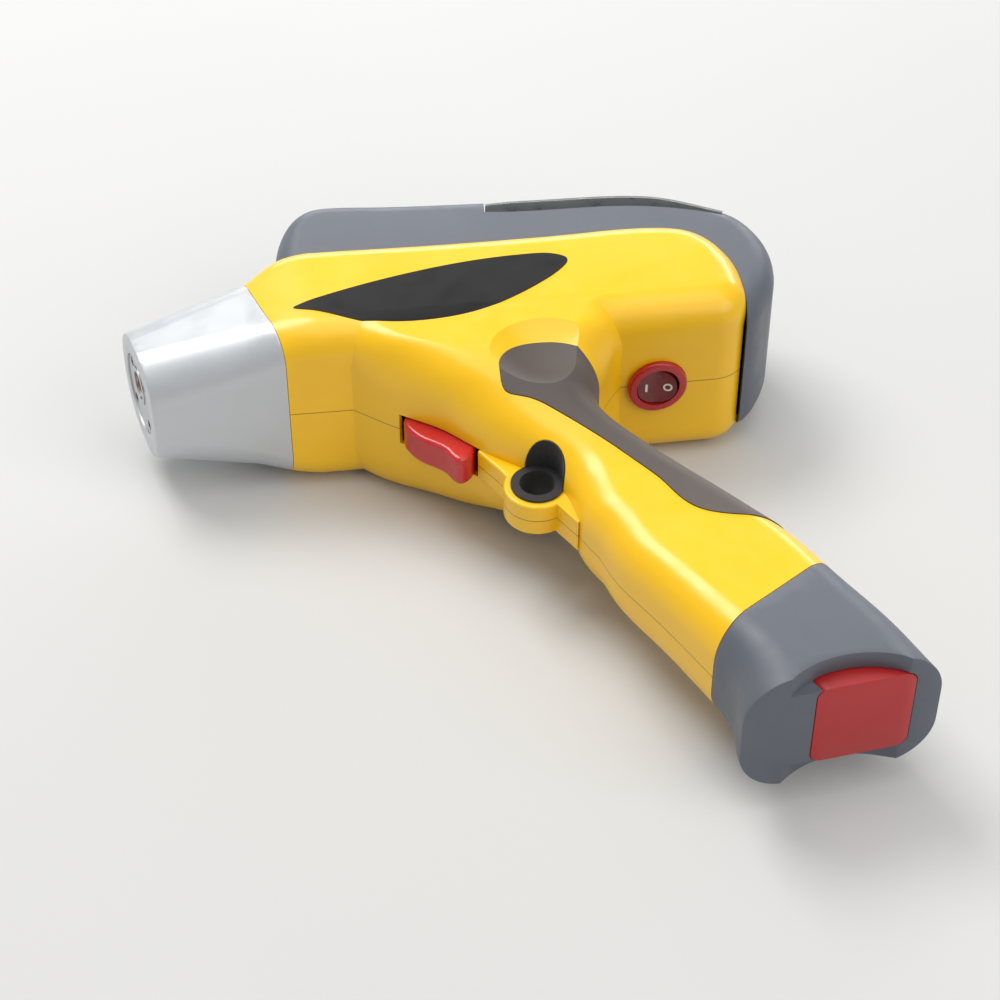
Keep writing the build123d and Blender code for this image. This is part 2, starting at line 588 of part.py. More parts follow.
put("keypad_board", key_loc * Pos(0, -5.4, 0) * Box(11.2, 1.6, 42.0))
lcd = box(33.6, 80.4, 68.9, 74.2, -19.6, 19.6)
put("display_module", lcd)

# ---------------------------------------------------------------------------
# nose
# ---------------------------------------------------------------------------
front_full = front_out & nose_region.moved(Location((-GAP, 0, 0)))
nose = front_full - front_in


def nz(shape):
    return nose_loc * shape


def ncyl(r, x0, x1, q=0.0, z=0.0):
    """Cylinder along the nose axis between two depths behind the face."""
    return nose_loc * Pos((x0 + x1) / 2, q, z) * Rot(0, 90, 0) * Cylinder(r, x1 - x0)


nose_plug = front_full & (nose_loc * Pos(1.6, 0, 0) * Box(3.2, 80, 80))
nose = nose + nose_plug
nose = nose - ncyl(15.6, -3, 5)
nose = solid_of(nose)
put("nose_cone", nose)
plate = ncyl(15.3, 0.6, 3.0) - ncyl(6.0, -1, 5, 1.0, 3.0)
plate_screws = []
for a in (45, 135, 225, 315):
    q, z = 12.2 * math.cos(math.radians(a)), 12.2 * math.sin(math.radians(a))
    plate = plate - ncyl(1.15, -1, 5, q, z) - ncyl(2.05, 0.5, 1.6, q, z)
    plate_screws.append(ncyl(1.9, 0.7, 1.6, q, z) + ncyl(1.1, 1.5, 3.0, q, z) - ncyl(0.8, 0.6, 1.2, q, z))
plate = plate - (ncyl(7.6, 0.5, 1.8, 1.0, 3.0))
put("nose_face_plate", solid_of(plate))
put("nose_screws", Compound(children=[solid_of(s) for s in plate_screws]))
put("window_ring", ncyl(7.5, 0.3, 1.5, 1.0, 3.0) - ncyl(5.4, 0.2, 1.6, 1.0, 3.0))
put("window_film", ncyl(7.4, 1.55, 1.75, 1.0, 3.0))

# measuring head behind the face: a block bored for tube, detector and motor
head = ncyl(15.0, 8.6, 30.0)
head = head - ncyl(5.05, 8, 31, 4.0, 2.0) - ncyl(4.05, 8, 31, -3.2, 9.2) - ncyl(3.05, 8, 31, -6.5, -3.5)
head = head - ncyl(2.0, 8, 31, 10.5, -5.5)
put("measurement_head", solid_of(head))
put("xray_tube", ncyl(5.0, 10.0, 36.5, 4.0, 2.0) + ncyl(6.5, 36.0, 56.0, 4.0, 2.0))
put("detector", ncyl(4.0, 9.4, 31.5, -3.2, 9.2) + ncyl(4.8, 31.5, 34.5, -3.2, 9.2))
put("filter_motor", (ncyl(3.0, 9.6, 24.0, -6.5, -3.5) - ncyl(0.85, 9, 25, -6.5, -3.5)))
wheel = ncyl(9.6, 5.0, 6.8, -6.5, -3.5)
for k in range(6):
    a = math.radians(60 * k + 28)
    wheel = wheel - ncyl(1.9, 4, 8, -6.5 + 6.6 * math.cos(a), -3.5 + 6.6 * math.sin(a))
wheel = wheel - ncyl(0.8, 4, 8, -6.5, -3.5)
put("filter_wheel", solid_of(wheel))
put("filter_wheel_shaft", ncyl(0.8, 4.6, 23.0, -6.5, -3.5))
put("camera_module", ncyl(1.9, 9.0, 30.2, 10.5, -5.5) + (nose_loc * Pos(31.0, 11.0, -6.2) * Box(1.9, 4.6, 4.6)))

# ---------------------------------------------------------------------------
# strap grommet
# ---------------------------------------------------------------------------
gr = cyl_z(EYELET[0], EYELET[1], EYELET_R - 0.05, -7.5, 7.5) + cyl_z(EYELET[0], EYELET[1], EYELET_R + 0.9, 6.5, 7.5) \
    + cyl_z(EYELET[0], EYELET[1], EYELET_R + 0.9, -7.5, -6.5)
gr = gr - cyl_z(EYELET[0], EYELET[1], GROMMET_R, -20, 20)
put("strap_grommet", solid_of(gr))

# ---------------------------------------------------------------------------
# foot, battery and its cap
# ---------------------------------------------------------------------------
CAP_P = 15.6
CAP_Z = 17.0
passage = batt_bar(-140, 60, BATT_HALF_P + 0.9, BATT_HALF_Z + 0.9, 3.0)
cap_pocket = batt_bar(-15.0, 60, CAP_P + 0.3, CAP_Z + 0.3, 4.3)
foot_hollow = grip_in & foot_half(-5.0)
foot = foot_out - (foot_hollow & foot_half(-5) - foot_half(14.0)) - passage - cap_pocket
ARCH_R = 34.0
arch = cyl_z(BATT_EXIT[0] - 2.6, BATT_EXIT[1] - ARCH_R + 6.6, ARCH_R, -60, 60)
arch_side = (arch & box(60, 170, -200, -100, CAP_Z - 0.5, 60)) + (arch & box(60, 170, -200, -100, -60, -CAP_Z + 0.5))
foot = foot - arch_side
rail = (grip_loft(-SHELL_WALL - 0.25) - grip_loft(-SHELL_WALL - 2.0))
rail = rail & (foot_half(-4.0) - foot_half(2.0))
foot = foot + (rail - passage)
foot = foot - screw_holes
foot = solid_of(foot)
put("base_foot", foot)
cap = batt_bar(-14.6, 60, CAP_P, CAP_Z, 4.0) - bottom_cut
put("battery_end_cap", solid_of(cap))
pack_len = 107.0
pack = batt_bar(-14.6 - pack_len, -14.6, BATT_HALF_P, BATT_HALF_Z, 2.6)
put("battery_pack", pack)
sleeve = batt_bar(-14.6 - pack_len - 1.8, -54.0, BATT_HALF_P + 1.7, BATT_HALF_Z + 1.7, 3.6) \
    - batt_bar(-14.6 - pack_len - 0.4, -10.0, BATT_HALF_P + 0.4, BATT_HALF_Z + 0.4, 2.9)
contacts_at = -14.6 - pack_len
sleeve = sleeve - (batt_loc * Pos(contacts_at - 1.0, 0, 0) * Box(4, 12, 16))
put("battery_sleeve", solid_of(sleeve & grip_loft(-SHELL_WALL - 0.3)))
ct = batt_loc * Pos(contacts_at - 2.3, 0, 0) * Box(3.0, 11.0, 15.0)
for z in (-5.0, 0.0, 5.0):
    ct = ct + (batt_loc * Pos(contacts_at - 0.65, 0, z) * Box(0.7, 3.0, 1.6))
put("battery_contacts", ct)

# ---------------------------------------------------------------------------
# inside the barrel
# ---------------------------------------------------------------------------
put("chassis", box(-80.0, 64, 5.6, 7.6, -20, 20) + box(-40, 64, 5.6, 7.6, -25, 25) + box(-40, -38, 7.5, 36, -20, 20)
    - cyl_z(62.0, 4.0, 4.6, -40, 40) - box(-41, -37, 26, 34, -2, 6) - box(36, 44, 4, 9, -22, -12))
put("tube_cable", Pos(-47.2, 30.0, 2.0) * Rot(0, 90, 0) * Cylinder(2.2, 26.4))
wire_path = FilletPolyline((56.2, -61.0, 0.0), (50.0, -48.0, 0.0), (40.0, -12.0, -10.0), (40.0, 8.0, -16.0), (40.0, 20.0, -19.4),
                           radius=8.0)
wire_start = Plane(origin=wire_path @ 0, z_dir=wire_path % 0)
put("battery_cable", sweep(wire_start * Circle(1.4), path=wire_path))
put("display_cable", box(61, 75, 36, 68.9, -19.5, -19.1))
put("face_gasket", ncyl(15.1, 3.1, 3.9) - ncyl(13.2, 3.0, 4.0))
put("hv_supply", box(-34, 10, 8.0, 40, -17, 17))
put("main_board", box(-30, 86, 8.5, 44, -24.0, -22.4) - cyl_z(52.0, 42.0, 4.6, -40, 40))
put("board_parts", box(0, 18, 20, 34, -22.4, -19.0) + box(24, 35, 14, 26, -22.4, -20.4) + box(58, 78, 16, 36, -22.4, -17.0))
put("pulse_processor_board", box(-30, 40, 8.5, 44, 22.4, 24.0))
put("cooling_block", box(16, 46, 8.0, 36, -10, 14))
put("shield_block", nose_loc * (Pos(46.5, 4.0, 2.0) * Box(18.0, 19.0, 24.0)) - ncyl(6.6, 30, 60, 4.0, 2.0))
put("buzzer", Pos(72, 30, 14) * Cylinder(6.0, 6.0))
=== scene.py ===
import bpy
import bmesh
import json
import math
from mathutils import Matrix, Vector
from mathutils.bvhtree import BVHTree

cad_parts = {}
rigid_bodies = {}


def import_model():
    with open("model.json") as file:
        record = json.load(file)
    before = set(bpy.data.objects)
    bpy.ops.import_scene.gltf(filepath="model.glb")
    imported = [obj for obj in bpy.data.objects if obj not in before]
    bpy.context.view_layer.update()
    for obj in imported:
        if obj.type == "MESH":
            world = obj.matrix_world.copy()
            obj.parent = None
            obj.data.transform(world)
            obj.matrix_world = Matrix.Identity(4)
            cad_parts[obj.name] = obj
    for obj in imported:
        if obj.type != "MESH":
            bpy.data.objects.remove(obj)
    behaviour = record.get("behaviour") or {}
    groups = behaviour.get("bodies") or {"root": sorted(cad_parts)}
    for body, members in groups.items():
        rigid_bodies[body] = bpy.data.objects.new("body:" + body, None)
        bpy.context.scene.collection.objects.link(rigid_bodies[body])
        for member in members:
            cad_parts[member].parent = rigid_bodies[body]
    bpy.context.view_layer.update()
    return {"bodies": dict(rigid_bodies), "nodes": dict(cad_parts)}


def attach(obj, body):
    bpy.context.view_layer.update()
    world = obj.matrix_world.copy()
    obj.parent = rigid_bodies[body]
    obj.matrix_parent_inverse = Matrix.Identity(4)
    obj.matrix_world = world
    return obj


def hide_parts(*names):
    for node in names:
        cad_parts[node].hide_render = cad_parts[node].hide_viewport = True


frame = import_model()
nodes = frame["nodes"]

# ---------------------------------------------------------------------------
# drawing frame of the object: u along the barrel, v towards the display, z
# across the body with the mid-plane at 0, all in millimetres
# ---------------------------------------------------------------------------
OFF = (-11.11, 49.66, 36.025)


def P(u, v, z):
    return Vector(((u + OFF[0]) / 1000, (v + OFF[1]) / 1000, (z + OFF[2]) / 1000))


# ---------------------------------------------------------------------------
# camera: the same standpoint as the reference view
# ---------------------------------------------------------------------------
cam_data = bpy.data.cameras.new("cam")
cam = bpy.data.objects.new("cam", cam_data)
bpy.context.scene.collection.objects.link(cam)
cam.location = (-0.0694, -0.6162, 0.5922)
aim = Vector((0.002, -0.006, 0.030))
cam.rotation_euler = (aim - cam.location).to_track_quat("-Z", "Y").to_euler()
cam_data.sensor_width = 36.0
cam_data.lens = 84.0
cam_data.clip_start = 0.02
cam_data.clip_end = 30.0
bpy.context.scene.camera = cam
bpy.context.scene.view_settings.view_transform = "Standard"
bpy.context.scene.view_settings.look = "None"

# ---------------------------------------------------------------------------
# node helpers
# ---------------------------------------------------------------------------


def shader(name):
    m = bpy.data.materials.new(name)
    m.use_nodes = True
    nt = m.node_tree
    b = nt.nodes.get("Principled BSDF")
    tc = nt.nodes.new("ShaderNodeTexCoord")
    return m, nt, b, tc.outputs["Object"]


def stretched(nt, co, scale, rot=(0, 0, 0)):
    mp = nt.nodes.new("ShaderNodeMapping")
    mp.inputs["Scale"].default_value = scale
    mp.inputs["Rotation"].default_value = rot
    nt.links.new(co, mp.inputs["Vector"])
    return mp.outputs["Vector"]


def noise(nt, co, scale, detail=3.0, rough=0.55, distortion=0.0):
    n = nt.nodes.new("ShaderNodeTexNoise")
    n.inputs["Scale"].default_value = scale
    n.inputs["Detail"].default_value = detail
    n.inputs["Roughness"].default_value = rough
    n.inputs["Distortion"].default_value = distortion
    nt.links.new(co, n.inputs["Vector"])
    return n.outputs["Fac"]


def ramp(nt, fac, stops):
    r = nt.nodes.new("ShaderNodeValToRGB")
    e = r.color_ramp.elements
    e[0].position, e[0].color = stops[0][0], stops[0][1]
    e[1].position, e[1].color = stops[-1][0], stops[-1][1]
    for pos, col in stops[1:-1]:
        k = e.new(pos)
        k.color = col
    nt.links.new(fac, r.inputs["Fac"])
    return r.outputs["Color"]


def spread(nt, fac, lo, hi, a=0.3, b=0.7):
    r = nt.nodes.new("ShaderNodeMapRange")
    r.inputs["From Min"].default_value = a
    r.inputs["From Max"].default_value = b
    r.inputs["To Min"].default_value = lo
    r.inputs["To Max"].default_value = hi
    nt.links.new(fac, r.inputs["Value"])
    return r.outputs["Result"]


def blend_rgb(nt, fac, a, b, mode="MIX"):
    x = nt.nodes.new("ShaderNodeMix")
    x.data_type = "RGBA"
    x.blend_type = mode
    if isinstance(fac, float):
        x.inputs["Factor"].default_value = fac
    else:
        nt.links.new(fac, x.inputs["Factor"])
    for sock, val in ((6, a), (7, b)):
        if isinstance(val, tuple):
            x.inputs[sock].default_value = val
        else:
            nt.links.new(val, x.inputs[sock])
    return x.outputs[2]


def bump(nt, height, strength, distance, prev=None):
    n = nt.nodes.new("ShaderNodeBump")
    n.inputs["Strength"].default_value = strength
    n.inputs["Distance"].default_value = distance
    nt.links.new(height, n.inputs["Height"])
    if prev is not None:
        nt.links.new(prev, n.inputs["Normal"])
    return n.outputs["Normal"]


def lin(r, g, b):
    """Linear colour from an 8-bit display colour."""
    out = []
    for c in (r, g, b):
        c = c / 255
        out.append(c / 12.92 if c <= 0.04045 else ((c + 0.055) / 1.055) ** 2.4)
    return (out[0], out[1], out[2], 1.0)


def tint(c, k):
    return (min(c[0] * k, 1.0), min(c[1] * k, 1.0), min(c[2] * k, 1.0), 1.0)


def moulded(name, colour, rough=0.42, grain=900.0, depth=0.00006, strength=0.25, coat=0.0, coat_rough=0.2,
            spec=0.5, shade=0.07, dust=0.12, metal=0.0, sheen=0.0, scuff=0.10):
    """Injection-moulded plastic: spark-eroded grain, slow tone drift, dust film and fine scuffs."""
    m, nt, b, co = shader(name)
    slow = noise(nt, co, 14.0, 4.0, 0.6, 0.3)
    mid = noise(nt, co, 120.0, 5.0, 0.6)
    base = ramp(nt, slow, [(0.30, tint(colour, 1.0 - shade)), (0.52, colour), (0.74, tint(colour, 1.0 + shade * 0.7))])
    speck = noise(nt, co, 2600.0, 2.0, 0.5)
    base = blend_rgb(nt, spread(nt, speck, 0.0, dust, 0.55, 0.75), base, tint(colour, 1.22))
    line = noise(nt, stretched(nt, co, (60.0, 1400.0, 900.0), (0.1, 0.2, 0.5)), 1.0, 4.0, 0.7, 0.4)
    base = blend_rgb(nt, spread(nt, line, 0.0, scuff, 0.66, 0.74), base, tint(colour, 0.72))
    nt.links.new(base, b.inputs["Base Color"])
    nt.links.new(spread(nt, mid, rough - 0.06, rough + 0.08), b.inputs["Roughness"])
    fine = noise(nt, co, grain, 3.0, 0.6)
    peel = noise(nt, co, 75.0, 2.0, 0.4)
    n1 = bump(nt, peel, 0.10, 0.0004)
    nt.links.new(bump(nt, fine, strength, depth, n1), b.inputs["Normal"])
    b.inputs["Metallic"].default_value = metal
    b.inputs["Specular IOR Level"].default_value = spec
    b.inputs["Coat Weight"].default_value = coat
    b.inputs["Coat Roughness"].default_value = coat_rough
    b.inputs["Sheen Weight"].default_value = sheen
    return m


def parted(m):
    """Adds the fine parting line where the two body halves meet, on the mid-plane."""
    nt = m.node_tree
    b = nt.nodes.get("Principled BSDF")
    tc = nt.nodes.new("ShaderNodeTexCoord")
    sep = nt.nodes.new("ShaderNodeSeparateXYZ")
    nt.links.new(tc.outputs["Object"], sep.inputs["Vector"])
    off = nt.nodes.new("ShaderNodeMath")
    off.operation = "SUBTRACT"
    off.inputs[1].default_value = OFF[2] / 1000
    nt.links.new(sep.outputs["Z"], off.inputs[0])
    absolute = nt.nodes.new("ShaderNodeMath")
    absolute.operation = "ABSOLUTE"
    nt.links.new(off.outputs[0], absolute.inputs[0])
    line = spread(nt, absolute.outputs[0], 1.0, 0.0, 0.00009, 0.00024)
    colour = b.inputs["Base Color"].links[0].from_socket
    nt.links.new(blend_rgb(nt, line, colour, tint(YELLOW, 0.30)), b.inputs["Base Color"])
    height = nt.nodes.new("ShaderNodeMath")
    height.operation = "SUBTRACT"
    height.inputs[0].default_value = 1.0
    nt.links.new(line, height.inputs[1])
    normal = b.inputs["Normal"].links[0].from_socket
    nt.links.new(bump(nt, height.outputs[0], 0.5, 0.0002, normal), b.inputs["Normal"])
    return m


def metal(name, colour, rough=0.3, along=(1, 0, 0), fine=1600.0, strength=0.15, shade=0.10, aniso=0.0):
    """Worked metal: drawn or turned lines, tarnish, uneven polish."""
    m, nt, b, co = shader(name)
    sc = tuple(fine if a == 0 else fine * 0.03 for a in along)
    lines = noise(nt, stretched(nt, co, sc), 1.0, 4.0, 0.6)
    cloud = noise(nt, co, 55.0, 5.0, 0.62, 0.5)
    base = ramp(nt, cloud, [(0.28, tint(colour, 1 - shade * 1.6)), (0.5, colour), (0.72, tint(colour, 1 + shade))])
    base = blend_rgb(nt, spread(nt, lines, 0.0, 0.25, 0.35, 0.75), base, tint(colour, 0.8))
    nt.links.new(base, b.inputs["Base Color"])
    nt.links.new(spread(nt, cloud, rough - 0.07, rough + 0.12), b.inputs["Roughness"])
    nt.links.new(bump(nt, lines, strength, 0.00003), b.inputs["Normal"])
    b.inputs["Metallic"].default_value = 1.0
    b.inputs["Anisotropic"].default_value = aniso
    return m


def rubber(name, colour, rough=0.62):
    """Overmoulded rubber: dull skin, fine pebbling, grey bloom."""
    m, nt, b, co = shader(name)
    slow = noise(nt, co, 26.0, 5.0, 0.6, 0.4)
    base = ramp(nt, slow, [(0.3, tint(colour, 0.86)), (0.5, colour), (0.72, tint(colour, 1.16))])
    bloom = noise(nt, co, 9.0, 6.0, 0.7)
    base = blend_rgb(nt, spread(nt, bloom, 0.0, 0.22, 0.48, 0.72), base, tint(colour, 1.6))
    nt.links.new(base, b.inputs["Base Color"])
    nt.links.new(spread(nt, slow, rough - 0.08, rough + 0.10), b.inputs["Roughness"])
    v = nt.nodes.new("ShaderNodeTexVoronoi")
    v.feature = "SMOOTH_F1"
    v.inputs["Scale"].default_value = 900.0
    v.inputs["Smoothness"].default_value = 0.6
    nt.links.new(co, v.inputs["Vector"])
    fine = noise(nt, co, 3000.0, 2.0, 0.5)
    n1 = bump(nt, v.outputs["Distance"], 0.22, 0.00012)
    nt.links.new(bump(nt, fine, 0.12, 0.00003, n1), b.inputs["Normal"])
    b.inputs["Specular IOR Level"].default_value = 0.42
    b.inputs["Sheen Weight"].default_value = 0.12
    b.inputs["Sheen Roughness"].default_value = 0.5
    return m


def board(name, colour):
    """Laminate with solder mask, tracks and pads."""
    m, nt, b, co = shader(name)
    brick = nt.nodes.new("ShaderNodeTexBrick")
    brick.inputs["Scale"].default_value = 170.0
    brick.inputs["Color1"].default_value = colour
    brick.inputs["Color2"].default_value = tint(colour, 1.35)
    brick.inputs["Mortar"].default_value = tint(colour, 0.6)
    brick.inputs["Mortar Size"].default_value = 0.03
    nt.links.new(co, brick.inputs["Vector"])
    cloud = noise(nt, co, 60.0, 4.0)
    base = blend_rgb(nt, spread(nt, cloud, 0.0, 0.3), brick.outputs["Color"], tint(colour, 0.75))
    nt.links.new(base, b.inputs["Base Color"])
    nt.links.new(spread(nt, cloud, 0.28, 0.42), b.inputs["Roughness"])
    nt.links.new(bump(nt, brick.outputs["Fac"], 0.2, 0.00005), b.inputs["Normal"])
    return m


# ---------------------------------------------------------------------------
# finishes
# ---------------------------------------------------------------------------
YELLOW = lin(251, 196, 8)
M = {
    "yellow": moulded("yellow_moulding", YELLOW, 0.34, 1500.0, 0.00003, 0.14, coat=0.25, coat_rough=0.22, spec=0.5,
                      shade=0.05, dust=0.05, scuff=0.05),
    "grey": moulded("grey_moulding", lin(92, 97, 107), 0.46, 1300.0, 0.00006, 0.30, spec=0.5, shade=0.07),
    "foot": moulded("grey_moulding_foot", lin(92, 97, 107), 0.48, 1300.0, 0.00006, 0.32, spec=0.5, shade=0.08, scuff=0.16),
    "silver": moulded("silver_satin", lin(196, 199, 203), 0.36, 2200.0, 0.00003, 0.12, coat=0.15, coat_rough=0.3,
                      spec=0.6, shade=0.04, dust=0.10, metal=0.35, scuff=0.07),
    "rubber": rubber("grip_skin", lin(86, 77, 73), 0.58),
    "black_inlay": moulded("badge_gloss", lin(9, 9, 10), 0.42, 1700.0, 0.00005, 0.25, coat=0.04, coat_rough=0.3,
                           spec=0.22, shade=0.15, dust=0.06),
    "bezel": moulded("bezel_black", lin(30, 31, 35), 0.30, 1600.0, 0.00004, 0.18, coat=0.2, coat_rough=0.2, shade=0.12),
    "red": moulded("trigger_red", lin(196, 34, 40), 0.30, 1700.0, 0.00003, 0.12, coat=0.3, coat_rough=0.15,
                   shade=0.06, dust=0.06),
    "ring": moulded("switch_ring_red", lin(178, 22, 26), 0.28, 1700.0, 0.00003, 0.10, coat=0.35, coat_rough=0.12,
                    shade=0.07, dust=0.05),
    "dark_red": moulded("rocker_dark_red", lin(112, 10, 16), 0.24, 1900.0, 0.00002, 0.10, coat=0.4, coat_rough=0.1,
                        shade=0.10, dust=0.05),
    "cap_red": moulded("cap_red", lin(176, 28, 30), 0.34, 1500.0, 0.00004, 0.18, coat=0.15, coat_rough=0.25, shade=0.07),
    "white": moulded("mark_white", lin(228, 226, 220), 0.45, 1500.0, 0.00003, 0.15, shade=0.04, dust=0.03),
    "black_rubber": rubber("black_rubber", lin(34, 33, 34), 0.6),
    "battery": moulded("battery_case", lin(34, 35, 38), 0.5, 1200.0, 0.00007, 0.35, shade=0.1),
    "chip": moulded("chip_black", lin(26, 26, 28), 0.55, 2000.0, 0.00004, 0.25, shade=0.12),
    "key": moulded("key_grey", lin(118, 123, 130), 0.44, 1800.0, 0.00004, 0.22, shade=0.06),
    "plate": metal("plate_aluminium", lin(190, 192, 195), 0.34, (0, 1, 0)),
    "chassis": metal("chassis_aluminium", lin(170, 172, 175), 0.42, (1, 0, 0)),
    "steel": metal("bright_steel", lin(176, 178, 182), 0.26, (0, 0, 1)),
    "screw": metal("blackened_steel", lin(58, 58, 62), 0.38, (0, 0, 1)),
    "brass": metal("brass", lin(196, 158, 84), 0.32, (1, 0, 0)),
    "tube": metal("tube_steel", lin(186, 188, 192), 0.22, (0, 1, 0)),
    "cable": rubber("cable_red_jacket", lin(150, 26, 26), 0.5),
    "ribbon": moulded("ribbon_amber", lin(190, 120, 40), 0.35, 1400.0, 0.00004, 0.2, coat=0.2, shade=0.1),
    "board": board("board_green", lin(24, 84, 48)),
}


def glass_black():
    m, nt, b, co = shader("display_glass_black")
    cloud = noise(nt, co, 30.0, 5.0, 0.6, 0.6)
    # the lit area under the glass is a shade lighter than the printed black border
    sep = nt.nodes.new("ShaderNodeSeparateXYZ")
    nt.links.new(co, sep.inputs["Vector"])

    def inside(sock, lo, hi, soft=0.0002):
        a = spread(nt, sock, 0.0, 1.0, lo, lo + soft)
        c = spread(nt, sock, 1.0, 0.0, hi - soft, hi)
        x = nt.nodes.new("ShaderNodeMath")
        x.operation = "MULTIPLY"
        nt.links.new(a, x.inputs[0])
        nt.links.new(c, x.inputs[1])
        return x.outputs[0]

    mu = inside(sep.outputs["X"], (35.0 + OFF[0]) / 1000, (79.0 + OFF[0]) / 1000)
    mz = inside(sep.outputs["Z"], (-17.6 + OFF[2]) / 1000, (17.6 + OFF[2]) / 1000)
    both = nt.nodes.new("ShaderNodeMath")
    both.operation = "MULTIPLY"
    nt.links.new(mu, both.inputs[0])
    nt.links.new(mz, both.inputs[1])
    smear = noise(nt, stretched(nt, co, (60.0, 60.0, 260.0), (0.0, 0.4, 0.3)), 1.0, 5.0, 0.65, 0.8)
    base = ramp(nt, cloud, [(0.3, lin(17, 18, 21)), (0.5, lin(23, 24, 28)), (0.7, lin(31, 33, 38))])
    base = blend_rgb(nt, both.outputs[0], base, lin(54, 58, 62))
    nt.links.new(base, b.inputs["Base Color"])
    nt.links.new(spread(nt, smear, 0.06, 0.20), b.inputs["Roughness"])
    nt.links.new(bump(nt, cloud, 0.04, 0.0002), b.inputs["Normal"])
    b.inputs["Coat Weight"].default_value = 0.5
    b.inputs["Coat Roughness"].default_value = 0.05
    return m


def film():
    m, nt, b, co = shader("window_film_amber")
    crinkle = noise(nt, co, 420.0, 4.0, 0.6, 1.2)
    base = ramp(nt, crinkle, [(0.3, lin(168, 104, 26)), (0.55, lin(206, 138, 44)), (0.8, lin(226, 170, 84))])
    nt.links.new(base, b.inputs["Base Color"])
    nt.links.new(spread(nt, crinkle, 0.12, 0.3), b.inputs["Roughness"])
    nt.links.new(bump(nt, crinkle, 0.25, 0.0001), b.inputs["Normal"])
    b.inputs["Coat Weight"].default_value = 0.4
    return m


parted(M["yellow"])
M["glass"] = glass_black()
M["film"] = film()

FINISH = {
    "left_shell": "yellow", "right_shell": "yellow", "grip_backstrap": "rubber", "left_badge": "black_inlay",
    "right_badge": "black_inlay", "power_switch_body": "ring", "trigger_pin": "steel", "shell_screws": "screw",
    "trigger_spring": "steel", "trigger_switch": "chip", "top_cover": "grey", "display_bezel": "bezel",
    "display_glass": "glass", "keypad_board": "board", "display_module": "chip", "nose_cone": "silver",
    "nose_face_plate": "plate", "nose_screws": "screw", "window_ring": "plate", "window_film": "film",
    "measurement_head": "brass", "xray_tube": "tube", "detector": "tube", "filter_motor": "steel",
    "camera_module": "chip", "strap_grommet": "black_rubber", "base_foot": "foot", "battery_sleeve": "battery",
    "battery_contacts": "brass", "chassis": "chassis", "tube_cable": "cable", "battery_cable": "cable",
    "display_cable": "ribbon", "face_gasket": "black_rubber", "hv_supply": "tube", "main_board": "board",
    "board_parts": "chip", "pulse_processor_board": "board", "cooling_block": "chassis", "shield_block": "brass",
    "buzzer": "chip", "trigger": "red", "power_rocker": "dark_red", "rocker_marks": "white", "key_left": "key",
    "key_ok": "key", "key_right": "key", "filter_wheel": "chassis", "filter_wheel_shaft": "steel",
    "battery_pack": "battery", "battery_end_cap": "cap_red",
}


# ---------------------------------------------------------------------------
# smooth shading on the tessellated CAD pieces, done by a modifier
# ---------------------------------------------------------------------------
def smoothing_group():
    g = bpy.data.node_groups.new("weld_and_smooth", "GeometryNodeTree")
    g.interface.new_socket("Geometry", in_out="INPUT", socket_type="NodeSocketGeometry")
    g.interface.new_socket("Geometry", in_out="OUTPUT", socket_type="NodeSocketGeometry")
    gi = g.nodes.new("NodeGroupInput")
    go = g.nodes.new("NodeGroupOutput")
    merge = g.nodes.new("GeometryNodeMergeByDistance")
    merge.inputs["Distance"].default_value = 0.000002
    face = g.nodes.new("GeometryNodeSetShadeSmooth")
    face.domain = "FACE"
    face.inputs["Shade Smooth"].default_value = True
    edge = g.nodes.new("GeometryNodeSetShadeSmooth")
    edge.domain = "EDGE"
    edge.inputs["Shade Smooth"].default_value = False
    angle = g.nodes.new("GeometryNodeInputMeshEdgeAngle")
    cmp = g.nodes.new("FunctionNodeCompare")
    cmp.data_type = "FLOAT"
    cmp.operation = "GREATER_THAN"
    cmp.inputs[1].default_value = math.radians(28)
    g.links.new(angle.outputs["Unsigned Angle"], cmp.inputs[0])
    g.links.new(gi.outputs[0], merge.inputs["Geometry"])
    g.links.new(merge.outputs["Geometry"], face.inputs["Geometry"])
    g.links.new(face.outputs["Geometry"], edge.inputs["Geometry"])
    g.links.new(cmp.outputs["Result"], edge.inputs["Selection"])
    g.links.new(edge.outputs["Geometry"], go.inputs[0])
    return g


SMOOTH = smoothing_group()
# broken edges, mm: moulded parts never have a knife edge
EASED = {"base_foot": 0.45, "battery_end_cap": 0.45, "nose_cone": 0.30}
for name, obj in nodes.items():
    me = obj.data
    me.materials.clear()
    me.materials.append(M[FINISH[name]])
    for p in me.polygons:
        p.material_index = 0
    if me.has_custom_normals and "custom_normal" in me.attributes:
        me.attributes.remove(me.attributes["custom_normal"])
    if name in EASED:
        weld = obj.modifiers.new("weld", "WELD")
        weld.merge_threshold = 0.000002
        ease = obj.modifiers.new("ease", "BEVEL")
        ease.width = EASED[name] / 1000
        ease.segments = 2
        ease.limit_method = "ANGLE"
        ease.angle_limit = math.radians(42)
        ease.use_clamp_overlap = True
    mod = obj.modifiers.new("smooth", "NODES")
    mod.node_group = SMOOTH


# ---------------------------------------------------------------------------
# raised legends on the three keys: two arrows and a ring, moulded in white
# ---------------------------------------------------------------------------
KEY_P = (97.3, 71.6)
KEY_A = math.atan2(67.6 - 75.2, 105.0 - 88.0)
KEY_T = (math.cos(KEY_A), math.sin(KEY_A))
KEY_N = (-math.sin(KEY_A), math.cos(KEY_A))


def key_point(x, y, z):
    return P(KEY_P[0] + KEY_T[0] * x + KEY_N[0] * y, KEY_P[1] + KEY_T[1] * x + KEY_N[1] * y, z)


